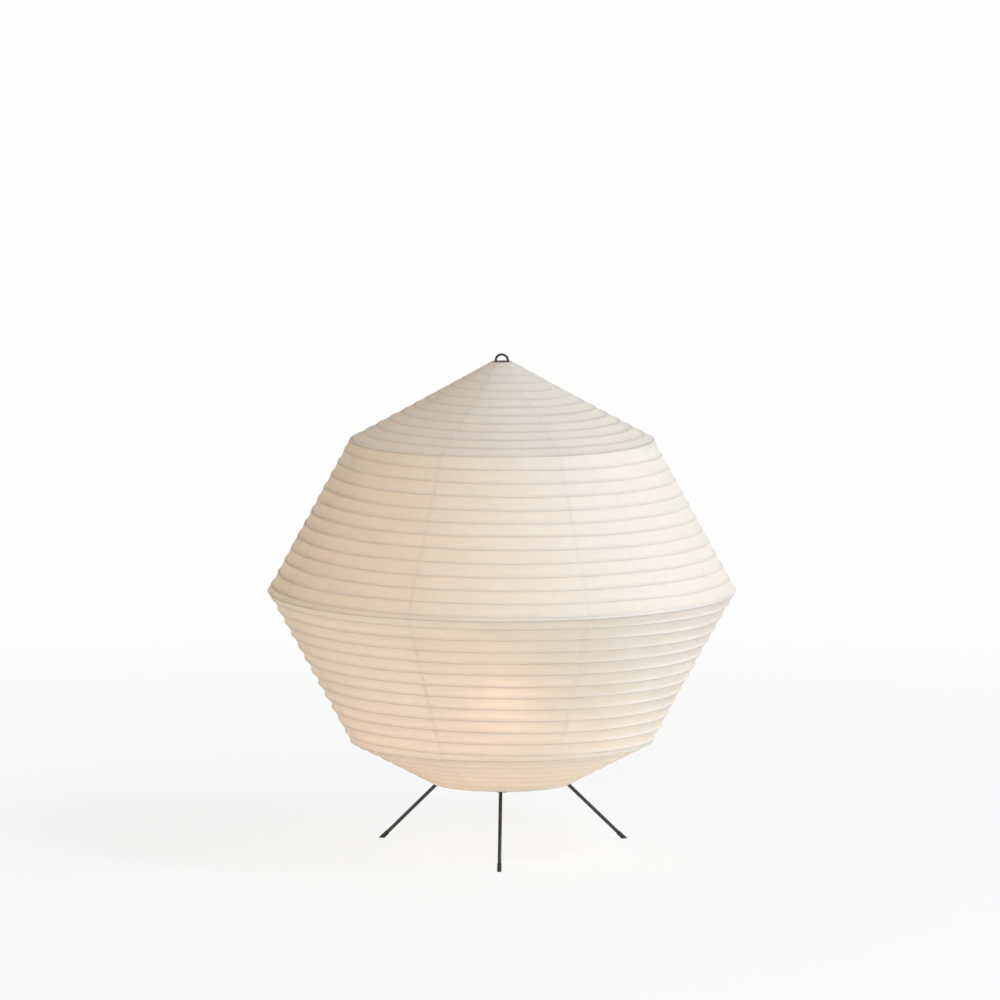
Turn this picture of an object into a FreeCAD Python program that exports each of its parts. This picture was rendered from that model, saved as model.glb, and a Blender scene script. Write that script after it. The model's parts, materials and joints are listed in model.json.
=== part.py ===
import FreeCAD
import Part
import math
import os
import Sketcher
from FreeCAD import Rotation, Vector

# Rice paper table lamp: a folding paper lantern on a three-legged wire stand.
# Millimetres, +Z up. The origin lies on the table under the middle of the lamp.
# The front leg points along -Y.

doc = FreeCAD.newDocument("rice_paper_table_lamp")

# Driving sizes: name, value, meaning
SIZES = [
    ("waist_width", 450, "outside width of the shade at its widest corner"),
    ("waist_height", 252, "height of the widest corner"),
    ("shoulder_width", 292, "outside width of the shade at its upper corner"),
    ("shoulder_height", 398, "height of the upper corner"),
    ("hip_width", 292, "outside width of the shade at its lower corner"),
    ("hip_height", 107, "height of the lower corner"),
    ("crown_height", 473, "height of the paper's top edge"),
    ("crown_opening", 18, "width of the hole in the top of the paper"),
    ("paper_thickness", 0.3, "paper with its paste"),
    ("rib_wire", 1.6, "thickness of the spiral rib"),
    ("rib_pitch", 13.5, "distance from turn to turn along the paper"),
    ("hoop_wire", 2, "thickness of the corner hoops"),
    ("ring_wire", 2, "thickness of the top ring"),
    ("base_hoop_wire", 2.5, "thickness of the bottom hoop"),
    ("base_hoop_width", 135, "width of the bottom hoop between wire centres"),
    ("glue_gap", 0.1, "clearance between the paper and what it is pasted to"),
    ("splice_gap", 0.5, "clearance between a rib's end and the next hoop"),
    ("rest_gap", 0.3, "clearance where a loose piece rests on another"),
    ("seat_gap", 0.05, "clearance between pieces that are seated face to face"),
    ("push_gap", 0.05, "radial clearance of a pushed-in wire or screw"),
    ("slip_gap", 0.2, "radial clearance of a piece that slips over another"),
    ("leg_wire", 3.5, "thickness of a leg"),
    ("foot_circle", 272, "width of the circle that the feet stand on"),
    ("leg_apex_height", 125.3, "height where the three leg lines would meet"),
    ("tip_wall", 0.4, "wall of a foot tip"),
    ("tip_length", 9, "length of a foot tip along the leg"),
    ("tip_floor", 3, "distance along the leg from the table to the leg's end"),
    ("collar_wall", 8, "radial wall of the leg collar"),
    ("collar_height", 15, "height of the leg collar"),
    ("socket_floor", 0.8, "wall left behind the end of a leg"),
    ("grub_thread", 2.5, "thickness of a grub screw"),
    ("grub_length", 3, "length of a grub screw"),
    ("grub_key", 1.3, "width across the corners of a grub screw's key hole"),
    ("grub_key_depth", 1.5, "depth of a grub screw's key hole"),
    ("stretcher_wire", 2.3, "thickness of the stretcher wire"),
    ("stretcher_spread", 80, "distance between the two uprights"),
    ("stretcher_foot_bend", 6, "bend at the foot of an upright"),
    ("stretcher_top_bend", 15, "bend at the top of an upright"),
    ("stretcher_neck_bend", 2, "bend at the neck of the top loop"),
    ("stretcher_grip", 5, "length of wire held in the collar"),
    ("tent_angle", 40, "fall of the wire under the top ring, in degrees"),
    ("loop_width", 14, "outside width of the top loop"),
    ("loop_rise", 7.7, "height of the top loop above the paper"),
    ("skirt_diameter", 39.5, "outside of the lamp holder's skirt"),
    ("skirt_wall", 2, "wall of the skirt"),
    ("skirt_below", 12, "length of skirt under the collar"),
    ("skirt_above", 8.5, "length of skirt over the collar"),
    ("shoulder_lip", 2.75, "ledge on the skirt that carries the collar"),
    ("shoulder_step", 3, "height of that ledge"),
    ("holder_cap_depth", 31.5, "height of the lamp holder's cap"),
    ("holder_cap_wall", 2.5, "wall of the lamp holder's cap"),
    ("boss_step", 5, "height of the boss round the cord inlet"),
    ("dome_step", 12, "height of the cap's domed part"),
    ("core_flange", 1.5, "thickness of the core's flange"),
    ("core_depth", 8, "height of the insulating core"),
    ("clamp_width", 50, "outside width of the clamp ring"),
    ("clamp_depth", 6, "height of the clamp ring"),
    ("clamp_notch", 1.6, "width of a finger notch on the clamp ring"),
    ("shell_depth", 25.5, "height of the threaded shell"),
    ("shell_bore", 27.1, "inside width of the threaded shell"),
    ("sheet_metal", 0.5, "thickness of the brass sheet"),
    ("contact_width", 5, "width of the centre contact"),
    ("contact_foot", 5, "length of the centre contact's foot"),
    ("contact_ramp", 4, "length of the centre contact's ramp"),
    ("contact_pad", 3, "length of the centre contact's pad"),
    ("contact_rise", 4, "height of the bulb's contact over the core"),
    ("terminal_spread", 22, "distance between the two terminal screws"),
    ("terminal_thread", 3.4, "thickness of a terminal screw"),
    ("terminal_head", 6, "head width of a terminal screw"),
    ("terminal_head_depth", 2, "head height of a terminal screw"),
    ("terminal_cover", 1, "core left over the end of a terminal screw"),
    ("terminal_slot", 0.8, "slot width of a terminal screw"),
    ("grip_thread", 10, "thickness of the cord grip's spigot"),
    ("grip_spigot", 8, "length of the cord grip's spigot"),
    ("grip_head", 16, "head width of the cord grip across its corners"),
    ("grip_head_depth", 4, "head height of the cord grip"),
    ("cord_bore", 6.5, "bore for the cord"),
    ("thread_pitch", 3.629, "pitch of the bulb thread"),
    ("thread_ridge", 0.85, "height of the bulb thread"),
    ("thread_foot", 1.6, "width of the bulb thread at its foot"),
    ("thread_crest", 0.7, "width of the bulb thread at its crest"),
    ("thread_turns", 3.5, "turns of thread on the bulb"),
    ("shell_turns", 5, "turns of thread in the shell"),
    ("thread_start", 7, "height of the bulb thread over the bulb's contact"),
    ("bulb_cap_width", 24.4, "width of the bulb cap without its thread"),
    ("bulb_cap_sheet", 0.4, "thickness of the bulb cap"),
    ("bulb_cap_foot", 4.2, "height of the bulb cap's lower edge over the contact"),
    ("bulb_cap_neck", 21, "height of the bulb cap's flare over the contact"),
    ("bulb_cap_flare", 2, "height of that flare"),
    ("bulb_cap_rim", 4, "height of the bulb cap's rim"),
    ("bulb_rim_width", 26, "width of the bulb cap's rim"),
    ("button_width", 9, "width of the bulb's contact button"),
    ("button_depth", 1.4, "height of the bulb's contact button"),
    ("globe_width", 45, "width of the bulb"),
    ("bulb_length", 78, "length of the bulb"),
    ("glass_wall", 0.8, "wall of the bulb"),
    ("neck_join", 13.5, "distance from the globe's middle to its tapering shoulder"),
    ("stem_width", 5, "width of the stem in the bulb"),
    ("stem_flare", 14, "height of the stem's flare"),
    ("filament_width", 1.8, "width of a filament"),
    ("filament_length", 26, "length of a filament"),
]

sheet = doc.addObject("Spreadsheet::Sheet", "Sizes")
for row, (alias, number, meaning) in enumerate(SIZES, 1):
    sheet.set(f"A{row}", meaning)
    sheet.set(f"B{row}", str(number))
    sheet.setAlias(f"B{row}", alias)
doc.recompute()

# Sizes that follow from the driving ones: name, formula on the two sheets
DERIVED = [
    # outside of the paper: radius of each corner, and fall of each band from the horizontal
    ("crown_radius", "Sizes.crown_opening / 2"),
    ("shoulder_radius", "Sizes.shoulder_width / 2"),
    ("waist_radius", "Sizes.waist_width / 2"),
    ("hip_radius", "Sizes.hip_width / 2"),
    ("crown_fall", "atan((Sizes.crown_height - Sizes.shoulder_height) / (shoulder_radius - crown_radius))"),
    ("upper_fall", "atan((Sizes.shoulder_height - Sizes.waist_height) / (waist_radius - shoulder_radius))"),
    ("lower_fall", "180 deg - atan((Sizes.waist_height - Sizes.hip_height) / (waist_radius - hip_radius))"),
    # the bottom hoop lies round the three legs
    ("foot_radius", "Sizes.foot_circle / 2"),
    ("leg_slope", "atan(Sizes.leg_apex_height / foot_radius)"),
    ("hoop_offset", "Sizes.leg_wire / 2 + Sizes.base_hoop_wire / 2 + Sizes.rest_gap"),
    ("hoop_radius", "Sizes.base_hoop_width / 2"),
    ("hoop_leg_radius", "hoop_radius - hoop_offset * sin(leg_slope)"),
    ("hoop_leg_height", "Sizes.leg_apex_height * (1 - hoop_leg_radius / foot_radius)"),
    ("hoop_height", "hoop_leg_height + hoop_offset * cos(leg_slope)"),
    # the base band runs from the lower corner to the outside of the bottom hoop
    ("base_in", "hip_radius - hoop_radius"),
    ("base_down", "Sizes.hip_height - hoop_height"),
    ("base_reach", "sqrt(base_in ^ 2 + base_down ^ 2)"),
    ("base_inset", "Sizes.paper_thickness + Sizes.glue_gap + Sizes.base_hoop_wire / 2"),
    ("base_fall", "180 deg - atan(base_down / base_in) - asin(base_inset / base_reach)"),
    ("base_length", "sqrt(base_reach ^ 2 - base_inset ^ 2)"),
    ("edge_radius", "hip_radius + base_length * cos(base_fall)"),
    ("edge_height", "Sizes.hip_height - base_length * sin(base_fall)"),
    # each corner hoop lies in the fold between two bands
    ("hoop_inset", "Sizes.paper_thickness + Sizes.glue_gap + Sizes.hoop_wire / 2"),
    ("shoulder_mean", "(crown_fall + upper_fall) / 2"),
    ("shoulder_reach", "hoop_inset / cos((upper_fall - crown_fall) / 2)"),
    ("shoulder_hoop_radius", "shoulder_radius - shoulder_reach * sin(shoulder_mean)"),
    ("shoulder_hoop_height", "Sizes.shoulder_height - shoulder_reach * cos(shoulder_mean)"),
    ("waist_mean", "(upper_fall + lower_fall) / 2"),
    ("waist_reach", "hoop_inset / cos((lower_fall - upper_fall) / 2)"),
    ("waist_hoop_radius", "waist_radius - waist_reach * sin(waist_mean)"),
    ("waist_hoop_height", "Sizes.waist_height - waist_reach * cos(waist_mean)"),
    ("hip_mean", "(lower_fall + base_fall) / 2"),
    ("hip_reach", "hoop_inset / cos((base_fall - lower_fall) / 2)"),
    ("hip_hoop_radius", "hip_radius - hip_reach * sin(hip_mean)"),
    ("hip_hoop_height", "Sizes.hip_height - hip_reach * cos(hip_mean)"),
    # the top ring lies under the paper's top edge
    ("ring_inset", "Sizes.paper_thickness + Sizes.glue_gap + Sizes.ring_wire / 2"),
    ("ring_radius", "crown_radius + Sizes.ring_wire / 2"),
    ("ring_height", "Sizes.crown_height - Sizes.ring_wire / 2 * tan(crown_fall) - ring_inset / cos(crown_fall)"),
    ("ring_run", "Sizes.ring_wire / 2 / cos(crown_fall) + ring_inset * tan(crown_fall)"),
    # the collar sits where the three legs reach it
    ("collar_inner", "Sizes.skirt_diameter / 2 + Sizes.slip_gap"),
    ("collar_outer", "collar_inner + Sizes.collar_wall"),
    ("leg_end", "collar_inner + Sizes.socket_floor + (Sizes.leg_wire / 2 + Sizes.push_gap) * sin(leg_slope)"),
    ("socket_middle", "(leg_end + collar_outer) / 2"),
    ("collar_middle", "Sizes.leg_apex_height * (1 - socket_middle / foot_radius)"),
    ("collar_seat", "collar_middle - Sizes.collar_height / 2"),
    ("collar_top", "collar_seat + Sizes.collar_height"),
    ("leg_length", "(foot_radius - leg_end) / cos(leg_slope)"),
    ("leg_foot_radius", "foot_radius - Sizes.tip_floor * cos(leg_slope)"),
    ("leg_foot_height", "Sizes.tip_floor * sin(leg_slope)"),
    ("tip_radius", "Sizes.leg_wire / 2 + Sizes.tip_wall"),
    ("tip_below", "tip_radius / tan(leg_slope) + Sizes.tip_wall"),
    ("grub_inner", "socket_middle - Sizes.grub_thread / 2"),
    ("grub_floor", "Sizes.leg_apex_height * (1 - grub_inner / foot_radius)"
                   " + Sizes.leg_wire / 2 / cos(leg_slope) + Sizes.push_gap"),
    # the lamp holder hangs in the collar
    ("skirt_radius", "Sizes.skirt_diameter / 2"),
    ("skirt_inner", "skirt_radius - Sizes.skirt_wall"),
    ("skirt_bottom", "collar_seat - Sizes.skirt_below"),
    ("shoulder_lip_radius", "skirt_radius + Sizes.shoulder_lip"),
    ("cap_top", "collar_seat - Sizes.shoulder_step - Sizes.seat_gap"),
    ("cap_bottom", "cap_top - Sizes.holder_cap_depth"),
    ("cap_bore", "Sizes.grip_thread / 2 + Sizes.push_gap"),
    ("core_bottom", "skirt_bottom - Sizes.seat_gap - Sizes.core_flange"),
    ("cap_ledge", "core_bottom - Sizes.seat_gap - cap_bottom"),
    ("core_top", "core_bottom + Sizes.core_depth"),
    ("core_seat", "core_top + Sizes.seat_gap"),
    ("shell_radius", "Sizes.shell_bore / 2"),
    # the bulb stands on the centre contact
    ("bulb_seat", "core_seat + Sizes.contact_rise"),
    ("bulb_cap_outer", "Sizes.bulb_cap_width / 2"),
    ("bulb_cap_inner", "bulb_cap_outer - Sizes.bulb_cap_sheet"),
    ("bulb_rim_outer", "Sizes.bulb_rim_width / 2"),
    ("bulb_rim_inner", "bulb_rim_outer - Sizes.bulb_cap_sheet"),
    ("bulb_rim_foot", "Sizes.bulb_cap_neck + Sizes.bulb_cap_flare"),
    ("bulb_rim_top", "bulb_rim_foot + Sizes.bulb_cap_rim"),
    ("shell_thread_start", "Sizes.contact_rise + Sizes.thread_start - 1.5 * Sizes.thread_pitch"),
    ("globe_radius", "Sizes.globe_width / 2"),
    ("globe_middle", "Sizes.bulb_length - globe_radius"),
    ("neck_foot", "bulb_rim_foot + Sizes.slip_gap"),
    ("neck_radius", "bulb_rim_inner - Sizes.slip_gap"),
    ("taper_top", "globe_middle - Sizes.neck_join"),
    ("stem_foot", "neck_foot + Sizes.glass_wall"),
    ("stem_top", "globe_middle + Sizes.filament_length / 2"),
    ("filament_circle", "Sizes.stem_width / 2 + Sizes.filament_width / 2 + Sizes.glue_gap"),
    # the stretcher wire carries the top ring on its two sloping arms
    ("stretcher_half", "Sizes.stretcher_spread / 2"),
    ("stretcher_end", "collar_outer - Sizes.stretcher_grip"),
    ("tent_offset", "Sizes.ring_wire / 2 + Sizes.stretcher_wire / 2 + Sizes.rest_gap"),
    ("tent_radius", "ring_radius - tent_offset * sin(Sizes.tent_angle)"),
    ("tent_height", "ring_height - tent_offset * cos(Sizes.tent_angle)"),
    ("loop_half", "Sizes.loop_width / 2 - Sizes.stretcher_wire / 2"),
    ("loop_top", "Sizes.crown_height + Sizes.loop_rise - Sizes.stretcher_wire / 2"),
    ("neck_height", "tent_height + (tent_radius - loop_half) * tan(Sizes.tent_angle)"),
    ("arm_height", "tent_height - (stretcher_half - tent_radius) * tan(Sizes.tent_angle)"),
    ("loop_foot", "neck_height + Sizes.stretcher_neck_bend"),
]

derived_sheet = doc.addObject("Spreadsheet::Sheet", "Derived")
for row, (alias, formula) in enumerate(DERIVED, 1):
    derived_sheet.set(f"B{row}", "=" + formula)
    derived_sheet.setAlias(f"B{row}", alias)
doc.recompute()

SUB_PARTS = []


def value(expression):
    """Number that an expression on the two sheets gives."""
    result = sheet.evalExpression(expression)
    return float(getattr(result, "Value", result))


def finish(thing, label):
    """Name a finished sub-part and list it for export."""
    thing.Label = label
    SUB_PARTS.append(thing)
    return thing


def lift(thing, height):
    """Bind a thing's height above the table to an expression."""
    thing.setExpression("Placement.Base.z", height)


def bind(thing, **expressions):
    """Bind properties of a thing to expressions."""
    for name, expression in expressions.items():
        thing.setExpression(name, expression)
    return thing


# Sketches and bodies

def new_body(name):
    return doc.addObject("PartDesign::Body", name)


def new_sketch(body, name, role):
    """Sketch on one of the body's own origin planes."""
    plane = [feature for feature in body.Origin.OriginFeatures if feature.Role == role][0]
    sketch = body.newObject("Sketcher::SketchObject", name)
    sketch.AttachmentSupport = (plane, [""])
    sketch.MapMode = "FlatFace"
    return sketch


def pin_corner(sketch, line, corner):
    """Hold the start of a line at a point given by two expressions."""
    for kind, expression in zip(("DistanceX", "DistanceY"), corner):
        if expression == "0":
            axis = -2 if kind == "DistanceX" else -1
            sketch.addConstraint(Sketcher.Constraint("PointOnObject", line, 1, axis))
        else:
            number = value(expression)
            index = sketch.addConstraint(Sketcher.Constraint(kind, -1, 1, line, 1, number))
            sketch.setExpression(f"Constraints[{index}]", expression)


def draw_loop(sketch, points):
    """Closed loop of straight lines through the points."""
    count = len(points)
    for index in range(count):
        sketch.addGeometry(Part.LineSegment(points[index], points[(index + 1) % count]))
    for index in range(count):
        sketch.addConstraint(Sketcher.Constraint("Coincident", index, 2, (index + 1) % count, 1))


def outline_sketch(body, name, corners, role="XZ_Plane"):
    """Closed outline whose corners are bound to expressions."""
    sketch = new_sketch(body, name, role)
    draw_loop(sketch, [Vector(value(across), value(up), 0) for across, up in corners])
    for index, corner in enumerate(corners):
        pin_corner(sketch, index, corner)
    return sketch


def circle_sketch(body, name, across, radius, role="XY_Plane"):
    """Circle on the sketch's horizontal axis."""
    sketch = new_sketch(body, name, role)
    sketch.addGeometry(Part.Circle(Vector(value(across), 0, 0), Vector(0, 0, 1), value(radius)))
    sketch.addConstraint(Sketcher.Constraint("PointOnObject", 0, 3, -1))
    place = sketch.addConstraint(Sketcher.Constraint("DistanceX", -1, 1, 0, 3, value(across)))
    sketch.setExpression(f"Constraints[{place}]", across)
    reach = sketch.addConstraint(Sketcher.Constraint("Radius", 0, value(radius)))
    sketch.setExpression(f"Constraints[{reach}]", radius)
    return sketch


def revolve(body, sketch, name, degrees=360, both_sides=False):
    """Turn a sketch about the body's vertical axis."""
    turned = body.newObject("PartDesign::Revolution", name)
    turned.Profile = sketch
    turned.ReferenceAxis = (sketch, ["V_Axis"])
    turned.Angle = degrees
    turned.Midplane = both_sides
    body.Tip = turned
    return turned


def turned_body(name, corners):
    """Round piece turned from one outline."""
    body = new_body(name)
    revolve(body, outline_sketch(body, name + "_outline", corners), name + "_turned")
    return body


def cut_upward(body, sketch, name):
    """Cut a sketch on the ground plane up through the whole body."""
    doc.recompute()
    before = body.Shape.Volume
    cut = body.newObject("PartDesign::Pocket", name)
    cut.Profile = sketch
    cut.Type = "ThroughAll"
    cut.Reversed = True
    body.Tip = cut
    doc.recompute()
    if not body.Shape.Volume < before:
        raise RuntimeError(name + " cuts nothing")
    return cut


def polar_pattern(body, feature, name, count):
    """Repeat a cut round the body's vertical axis."""
    axis = [part for part in body.Origin.OriginFeatures if part.Role == "Z_Axis"][0]
    pattern = body.newObject("PartDesign::PolarPattern", name)
    pattern.Originals = [feature]
    pattern.Axis = (axis, [""])
    pattern.Angle = 360
    body.Tip = pattern
    pattern.Occurrences = count
    return pattern


def screw_thread(body, name, corners, turns):
    """Helical ridge swept from an outline round the body's vertical axis."""
    sketch = outline_sketch(body, name + "_outline", corners)
    ridge = body.newObject("PartDesign::AdditiveHelix", name)
    ridge.Profile = sketch
    ridge.ReferenceAxis = (sketch, ["V_Axis"])
    ridge.Mode = "pitch-turns-angle"
    bind(ridge, Pitch="Sizes.thread_pitch", Turns=turns)
    body.Tip = ridge
    return ridge


# Wires and tubes

def arc_middle(start, tangent, end):
    """Middle of the arc that leaves a start point along a tangent and reaches the end."""
    chord = end - start
    along = Vector(chord).normalize()
    side = tangent - along * tangent.dot(along)
    half_turn = math.acos(max(-1, min(1, tangent.dot(along))))
    bulge = chord.Length / 2 * math.tan(half_turn / 2)
    return start + chord * 0.5 + side.normalize() * bulge


def biarc(start, start_tangent, end, end_tangent):
    """Two arcs that join two points and keep to both tangents."""
    chord = end - start
    both = start_tangent + end_tangent
    spread = 2 * (1 - start_tangent.dot(end_tangent))
    across = chord.dot(both)
    reach = (math.sqrt(across ** 2 + spread * chord.dot(chord)) - across) / spread
    joint = (start + end + (start_tangent - end_tangent) * reach) * 0.5
    first = Part.Arc(start, arc_middle(start, start_tangent, joint), joint)
    second = Part.Arc(joint, arc_middle(end, end_tangent * -1, joint), end)
    return [first.toShape(), second.toShape()]


def tube(edges, start, tangent, radius):
    """Solid round wire along a chain of edges."""
    pipe = Part.BRepOffsetAPI.MakePipeShell(Part.Wire(edges))
    pipe.add(Part.Wire(Part.makeCircle(radius, start, tangent)))
    pipe.build()
    pipe.makeSolid()
    return pipe.shape()


# a straight run shorter than this is left out between two bends
SHORTEST_RUN = 1e-6


def rounded_path(points, bends):
    """Edges of a polyline whose inner corners are rounded with the given bends."""
    edges = []
    here = points[0]
    for before, corner, after, bend in zip(points, points[1:], points[2:], bends):
        back = (before - corner).normalize()
        ahead = (after - corner).normalize()
        half_angle = math.acos(back.dot(ahead)) / 2
        trim = bend / math.tan(half_angle)
        enter = corner + back * trim
        leave = corner + ahead * trim
        inward = (back + ahead).normalize()
        middle = corner + inward * (bend / math.sin(half_angle) - bend)
        if (enter - here).Length > SHORTEST_RUN:
            edges.append(Part.LineSegment(here, enter).toShape())
        edges.append(Part.Arc(enter, middle, leave).toShape())
        here = leave
    edges.append(Part.LineSegment(here, points[-1]).toShape())
    return edges


def code_feature(name, shape):
    """Sub-part whose shape this source works out from the sheets."""
    feature = doc.addObject("Part::Feature", name)
    feature.Shape = shape
    return feature


# Simple solids

def cylinder(name, radius, height, base="0"):
    """Upright cylinder on the lamp's axis."""
    solid = doc.addObject("Part::Cylinder", name)
    bind(solid, Radius=radius, Height=height)
    lift(solid, base)
    return solid


def tilted_cylinder(name, azimuth, radius, height, base_radius, base_height):
    """Cylinder that starts at a radius and a height and runs up along a leg line."""
    solid = doc.addObject("Part::Cylinder", name)
    bind(solid, Radius=radius, Height=height)
    turn = math.radians(azimuth)
    solid.Placement.Rotation = Rotation(Vector(-math.sin(turn), math.cos(turn), 0), -45)
    solid.setExpression("Placement.Rotation.Angle", "Derived.leg_slope - 90 deg")
    solid.setExpression("Placement.Base.x", f"({base_radius}) * {math.cos(turn)}")
    solid.setExpression("Placement.Base.y", f"({base_radius}) * {math.sin(turn)}")
    solid.setExpression("Placement.Base.z", base_height)
    return solid


def move_out(solid, azimuth, radius):
    """Move a solid away from the axis along an azimuth."""
    turn = math.radians(azimuth)
    solid.setExpression("Placement.Base.x", f"({radius}) * {math.cos(turn)}")
    solid.setExpression("Placement.Base.y", f"({radius}) * {math.sin(turn)}")
    return solid


def cut(name, base, tool):
    result = doc.addObject("Part::Cut", name)
    result.Base = base
    result.Tool = tool
    return result


def fuse(name, solids):
    result = doc.addObject("Part::MultiFuse", name)
    result.Shapes = solids
    return result


def group(name, solids):
    result = doc.addObject("Part::Compound", name)
    result.Links = solids
    return result


def torus(name, ring_radius, wire, height):
    """Round wire ring about the lamp's axis."""
    ring = doc.addObject("Part::Torus", name)
    bind(ring, Radius1=ring_radius, Radius2=f"({wire}) / 2")
    lift(ring, height)
    return finish(ring, name)


# Paper gores: eight strips from the top edge to the bottom edge

GORE_NAMES = ["front", "front_right", "right", "back_right", "back", "back_left", "left", "front_left"]
GORE_ANGLE = 360 / len(GORE_NAMES)
FRONT = -90

PAPER_CORNERS = [
    ("Derived.crown_radius", "Sizes.crown_height"),
    ("Derived.shoulder_radius", "Sizes.shoulder_height"),
    ("Derived.waist_radius", "Sizes.waist_height"),
    ("Derived.hip_radius", "Sizes.hip_height"),
    ("Derived.edge_radius", "Derived.edge_height"),
]


def paper_sketch(body):
    """Section of the paper: the outside is pinned, the inside runs parallel to it."""
    sketch = new_sketch(body, body.Name + "_outline", "XZ_Plane")
    outside = [Vector(value(across), value(up), 0) for across, up in PAPER_CORNERS]
    start_inset = Vector(-value("Sizes.paper_thickness"), 0, 0)
    inside = [corner + start_inset for corner in reversed(outside)]
    draw_loop(sketch, outside + inside)
    for index, corner in enumerate(PAPER_CORNERS):
        pin_corner(sketch, index, corner)
    bands = len(PAPER_CORNERS) - 1
    last = 2 * bands + 1
    for band in range(bands):
        inner = last - 1 - band
        sketch.addConstraint(Sketcher.Constraint("Parallel", band, inner))
        thickness = Sketcher.Constraint("Distance", inner, 2, band, value("Sizes.paper_thickness"))
        index = sketch.addConstraint(thickness)
        sketch.setExpression(f"Constraints[{index}]", "Sizes.paper_thickness")
    sketch.addConstraint(Sketcher.Constraint("Perpendicular", bands - 1, bands))
    sketch.addConstraint(Sketcher.Constraint("Vertical", last))
    return sketch


def build_gores():
    for index, place in enumerate(GORE_NAMES):
        body = new_body("gore_" + place)
        revolve(body, paper_sketch(body), body.Name + "_turned", GORE_ANGLE, both_sides=True)
        body.Placement.Rotation = Rotation(Vector(0, 0, 1), FRONT + index * GORE_ANGLE)
        finish(body, "gore_" + place)


# Spiral rib: one run of turns in each paper band

def band_frame(start, end):
    """Direction down a band and the direction into the lamp, in radius and height."""
    length = math.hypot(end[0] - start[0], end[1] - start[1])
    down = ((end[0] - start[0]) / length, (end[1] - start[1]) / length)
    return length, down, (down[1], -down[0])


def spiral_rib(name, start, end, run_before, start_trim, end_trim):
    """Rib that winds down the inside of a band; the turn count goes on from band to band."""
    length, down, inward = band_frame(start, end)
    pitch = value("Sizes.rib_pitch")
    radius = value("Sizes.rib_wire / 2")
    inset = value("Sizes.paper_thickness + Sizes.glue_gap") + radius
    first = (run_before + start_trim) / pitch
    last = (run_before + length - end_trim) / pitch

    def station(turns):
        run = turns * pitch - run_before
        reach = start[0] + down[0] * run + inward[0] * inset
        height = start[1] + down[1] * run + inward[1] * inset
        angle = math.radians(FRONT) + 2 * math.pi * turns
        round_speed = 2 * math.pi * reach
        point = Vector(reach * math.cos(angle), reach * math.sin(angle), height)
        tangent = Vector(
            down[0] * pitch * math.cos(angle) - round_speed * math.sin(angle),
            down[0] * pitch * math.sin(angle) + round_speed * math.cos(angle),
            down[1] * pitch,
        )
        return point, tangent.normalize()

    steps = max(1, math.ceil((last - first) * 4))
    stations = [station(first + (last - first) * step / steps) for step in range(steps + 1)]
    edges = []
    for (point, tangent), (next_point, next_tangent) in zip(stations, stations[1:]):
        edges += biarc(point, tangent, next_point, next_tangent)
    finish(code_feature(name, tube(edges, *stations[0], radius)), name)
    samples = [station(turns)[0] for turns in every(first, last, 1 / TURN_SAMPLES)]
    print(name, "turns", round(last - first, 2), "least gap", round(least_gap(samples) - 2 * radius, 2))


TURN_SAMPLES = 36


def every(first, last, step):
    """Numbers from first to last, a step apart."""
    return [first + step * index for index in range(int((last - first) / step) + 1)]


def least_gap(points):
    """Least distance between points that lie more than half a turn apart."""
    gaps = []
    for index, point in enumerate(points):
        gaps += [(other - point).Length for other in points[index + TURN_SAMPLES // 2:]]
    return min(gaps)


def build_ribs():
    outside = [(value(across), value(up)) for across, up in PAPER_CORNERS]
    clear = value("Sizes.rib_wire / 2 + Sizes.splice_gap")
    ring_trim = value("Derived.ring_run + Sizes.ring_wire / 2") + clear
    hoop_radius = value("Sizes.hoop_wire / 2")
    inset = value("Derived.hoop_inset")
    falls = [value("Derived." + band + "_fall") for band in ("crown", "upper", "lower", "base")]
    trims = [ring_trim]
    for fall, next_fall in zip(falls, falls[1:]):
        trims.append(inset * math.tan(math.radians(next_fall - fall) / 2) + hoop_radius + clear)
    trims.append(value("Sizes.base_hoop_wire / 2") + clear)
    lengths = [band_frame(start, end)[0] for start, end in zip(outside, outside[1:])]
    # turns are counted from the front of the upper corner
    run = -lengths[0]
    for index, band in enumerate(("crown", "upper", "lower", "base")):
        spiral_rib("rib_" + band, outside[index], outside[index + 1], run, trims[index], trims[index + 1])
        run += lengths[index]


# Hoops and rings of the shade

def build_hoops():
    torus("top_ring", "Derived.ring_radius", "Sizes.ring_wire", "Derived.ring_height")
    for corner in ("shoulder", "waist", "hip"):
        place = f"Derived.{corner}_hoop"
        torus(corner + "_hoop", place + "_radius", "Sizes.hoop_wire", place + "_height")
    torus("base_hoop", "Derived.hoop_radius", "Sizes.base_hoop_wire", "Derived.hoop_height")


# Legs, foot tips, collar and grub screws

LEGS = [("front", -90), ("rear_right", 30), ("rear_left", 150)]
LEG_FOOT = ("Derived.leg_foot_radius", "Derived.leg_foot_height")


def build_legs():
    for place, azimuth in LEGS:
        leg = tilted_cylinder(
            "leg_" + place, azimuth, "Sizes.leg_wire / 2", "Derived.leg_length - Sizes.tip_floor", *LEG_FOOT)
        finish(leg, "leg_" + place)


def build_tips():
    """Soft cap on each leg, cut level with the table."""
    for place, azimuth in LEGS:
        outside = tilted_cylinder(
            "tip_outside_" + place, azimuth, "Derived.tip_radius", "Derived.tip_below + Sizes.tip_length",
            "Derived.foot_radius + Derived.tip_below * cos(Derived.leg_slope)",
            "-Derived.tip_below * sin(Derived.leg_slope)")
        bore = tilted_cylinder(
            "tip_bore_" + place, azimuth, "Sizes.leg_wire / 2 + Sizes.push_gap", "Sizes.tip_length", *LEG_FOOT)
        table = cylinder(
            "tip_table_" + place, "4 * Derived.tip_radius", "4 * Derived.tip_radius", "-4 * Derived.tip_radius")
        move_out(table, azimuth, "Derived.foot_radius")
        tip = cut("tip_" + place, cut("tip_sleeve_" + place, outside, bore), table)
        finish(tip, "tip_" + place)


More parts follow.
